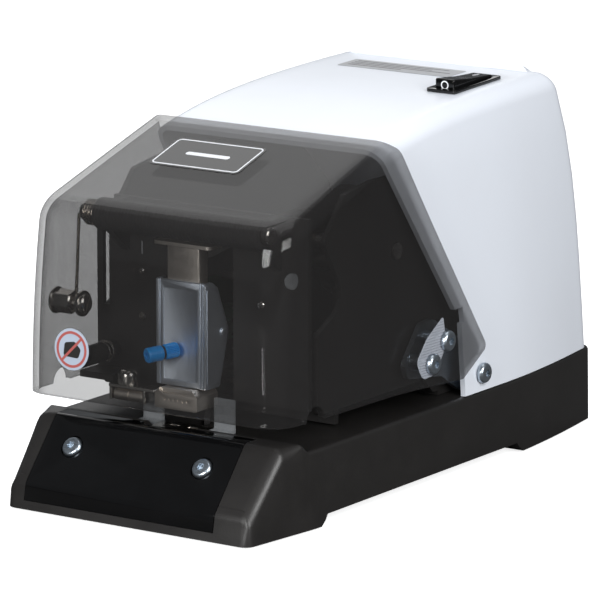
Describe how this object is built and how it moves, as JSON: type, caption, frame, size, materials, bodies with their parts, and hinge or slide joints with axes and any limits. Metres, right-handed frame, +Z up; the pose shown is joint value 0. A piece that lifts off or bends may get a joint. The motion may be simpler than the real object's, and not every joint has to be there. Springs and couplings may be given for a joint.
{
  "type": "electric stapler",
  "caption": "Electric office stapler with a black base, white rear housing and smoked swing-up cover over a motor-driven stapling head.",
  "frame": {"origin": "on the table, under the middle of the base", "axes": "+X to the right seen from the front, +Y from the nose to the rear, +Z up"},
  "size_m": [0.1558, 0.3, 0.1803],
  "materials": {
    "satin_black": "satin, fine texture",
    "gloss_black": "high gloss",
    "white_housing": "smooth satin paint",
    "smoked_plastic": "smoked clear, polished",
    "clear_plastic": "clear, polished",
    "zinc": "bluish zinc plating",
    "nickel": "warm bright nickel plating",
    "dark_steel": "dark oxide",
    "black_paint": "semi-matte black",
    "rubber": "matte",
    "blue_plastic": "moulded, satin",
    "green_board": "solder mask"
  },
  "bodies": {
    "base": {"anvil": "nickel", "base_plate": "black_paint", "base_shell": "satin_black", "control_board": "green_board", "cover_spring": "nickel", "cross_rod": "nickel", "cross_tube": "rubber", "foot_front_left": "rubber", "foot_front_right": "rubber", "foot_rear_left": "rubber", "foot_rear_right": "rubber", "front_plate": "black_paint", "hinge_screw_left": "zinc", "hinge_screw_right": "zinc", "lever_shaft": "nickel", "mains_inlet": "satin_black", "motor": "dark_steel", "nose_panel": "gloss_black", "nose_screw_left": "zinc", "nose_screw_right": "zinc", "paper_guard_left": "clear_plastic", "paper_guard_right": "clear_plastic", "rear_housing": "white_housing", "return_spring": "nickel", "side_frame_left": "dark_steel", "side_frame_right": "dark_steel", "spring_bracket": "dark_steel", "switch_bezel": "gloss_black", "trigger_switch": "black_paint"},
    "cover": {"smoked_cover": "smoked_plastic", "swing_arm_left": "zinc", "swing_arm_right": "zinc", "cover_screw_left_upper": "zinc", "cover_screw_left_lower": "zinc", "cover_screw_right_upper": "zinc", "cover_screw_right_lower": "zinc", "spring_post": "nickel", "cover_bumper": "clear_plastic"},
    "spring_leg": {"cover_spring_leg": "nickel"},
    "crank": {"drive_gear": "nickel", "eccentric": "dark_steel", "crankshaft": "nickel"},
    "lever": {"drive_lever": "dark_steel"},
    "head": {"staple_cassette": "zinc", "staple_strip": "zinc", "head_nose": "nickel", "clamp_post": "nickel"},
    "ram": {"ram": "nickel"},
    "roller": {"clamp_roller": "nickel"},
    "knob": {"cassette_knob": "blue_plastic"},
    "rotor": {"motor_shaft": "nickel"},
    "depth_adjuster": {"depth_screw": "black_paint"},
    "stop": {"paper_stop": "black_paint"},
    "trigger": {"trigger_lever": "black_paint"},
    "rocker": {"rocker": "gloss_black"}
  },
  "joints": [
    {"name": "cover_swing", "type": "hinge", "parent": "base", "child": "cover", "pos_m": [0, 0.0355, 0.046], "axis": [-1, 0, 0], "range_deg": [0, 11]},
    {"name": "spring_leg_swing", "type": "hinge", "parent": "base", "child": "spring_leg", "pos_m": [-0.0536, -0.105, 0.132], "axis": [1, 0, 0], "range_deg": [0, 33.1], "deforming": ["cover_spring_leg"]},
    {"name": "crank_turn", "type": "hinge", "parent": "base", "child": "crank", "pos_m": [0, 0.042, 0.088], "axis": [1, 0, 0], "range_deg": [0, 180], "deforming": ["return_spring"]},
    {"name": "lever_rock", "type": "hinge", "parent": "base", "child": "lever", "pos_m": [0, -0.02, 0.112], "axis": [1, 0, 0], "range_deg": [0, 7.2]},
    {"name": "head_slide", "type": "slide", "parent": "base", "child": "head", "axis": [0, 0, -1], "range_m": [0, 0.007]},
    {"name": "ram_slide", "type": "slide", "parent": "base", "child": "ram", "axis": [0, 0, -1], "range_m": [0, 0.01]},
    {"name": "motor_spin", "type": "hinge", "parent": "base", "child": "rotor", "pos_m": [0, 0.0872, 0.088], "axis": [1, 0, 0], "range_deg": [-720, 0]},
    {"name": "roller_spin", "type": "hinge", "parent": "head", "child": "roller", "pos_m": [-0.0284, -0.1055, 0.0495], "axis": [1, 0, 0], "continuous": true},
    {"name": "knob_pull", "type": "slide", "parent": "head", "child": "knob", "axis": [-0.4407, -0.8939, -0.0818], "range_m": [0, 0.003], "stiffness_N_per_m": 400},
    {"name": "depth_turn", "type": "hinge", "parent": "base", "child": "depth_adjuster", "pos_m": [-0.049, -0.1, 0.066], "axis": [0, 1, 0], "range_deg": [0, 1080]},
    {"name": "stop_slide", "type": "slide", "parent": "base", "child": "stop", "axis": [0, 1, 0], "range_m": [0, 0.03]},
    {"name": "trigger_tip", "type": "hinge", "parent": "base", "child": "trigger", "pos_m": [0, -0.084, 0.027], "axis": [-1, 0, 0], "range_deg": [0, 15], "stiffness_Nm_per_rad": 0.02},
    {"name": "rocker_flip", "type": "hinge", "parent": "base", "child": "rocker", "pos_m": [0.0415, 0.0655, 0.175], "axis": [1, 0, 0], "range_deg": [0, 12]}
  ],
  "couplings": [
    {"joint": "spring_leg_swing", "follows": "cover_swing", "ratio": 3},
    {"joint": "lever_rock", "follows": "crank_turn", "ratio": 0.04},
    {"joint": "head_slide", "follows": "crank_turn", "m_per_rad": 0.0022281},
    {"joint": "ram_slide", "follows": "crank_turn", "m_per_rad": 0.003183},
    {"joint": "motor_spin", "follows": "crank_turn", "ratio": -4},
    {"joint": "depth_turn", "follows": "stop_slide", "rad_per_m": 628.3}
  ]
}
